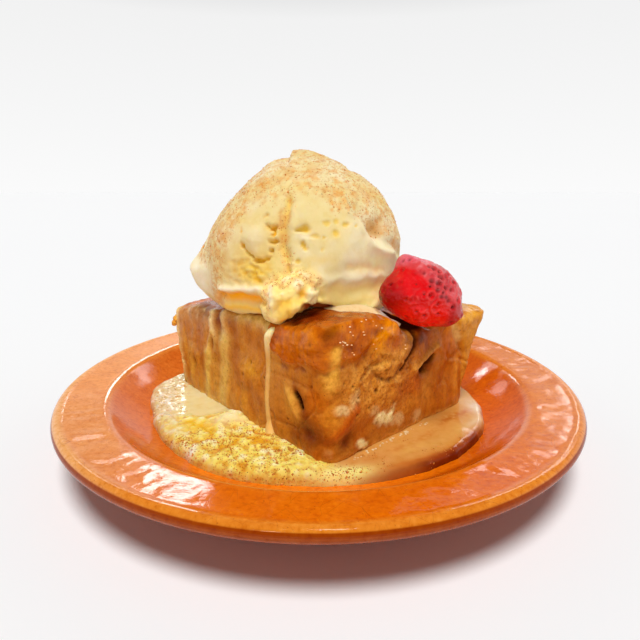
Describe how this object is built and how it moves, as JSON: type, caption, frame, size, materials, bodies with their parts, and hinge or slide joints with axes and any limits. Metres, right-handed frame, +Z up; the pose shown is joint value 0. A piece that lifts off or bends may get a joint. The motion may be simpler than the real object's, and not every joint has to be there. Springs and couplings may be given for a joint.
{
  "type": "bread pudding dessert",
  "caption": "Cut square of bread pudding in a pool of melted cream on a round glazed plate, topped with a scoop of vanilla ice cream and half a strawberry.",
  "frame": {"origin": "centre of the plate's foot ring, on the surface that the plate stands on", "axes": "+Z up; -Y is the front, towards the pudding's front corner; +X is the side with the strawberry"},
  "size_m": [0.1838, 0.1838, 0.1009],
  "materials": {
    "glaze": "glazed stoneware, glossy orange with brown mottling and fine crackle",
    "pudding": "baked custard-soaked bread with a glossy browned crust",
    "ice_cream": "vanilla ice cream, satin where it melts, dusted with cinnamon",
    "strawberry": "wet red strawberry skin with small seeds in pits",
    "melted_cream": "melted ice cream and custard sauce, wet and glossy"
  },
  "bodies": {
    "root": {"plate": "glaze", "bread_pudding": "pudding", "ice_cream": "ice_cream", "strawberry": "strawberry", "cream_pool": "melted_cream"}
  },
  "joints": []
}
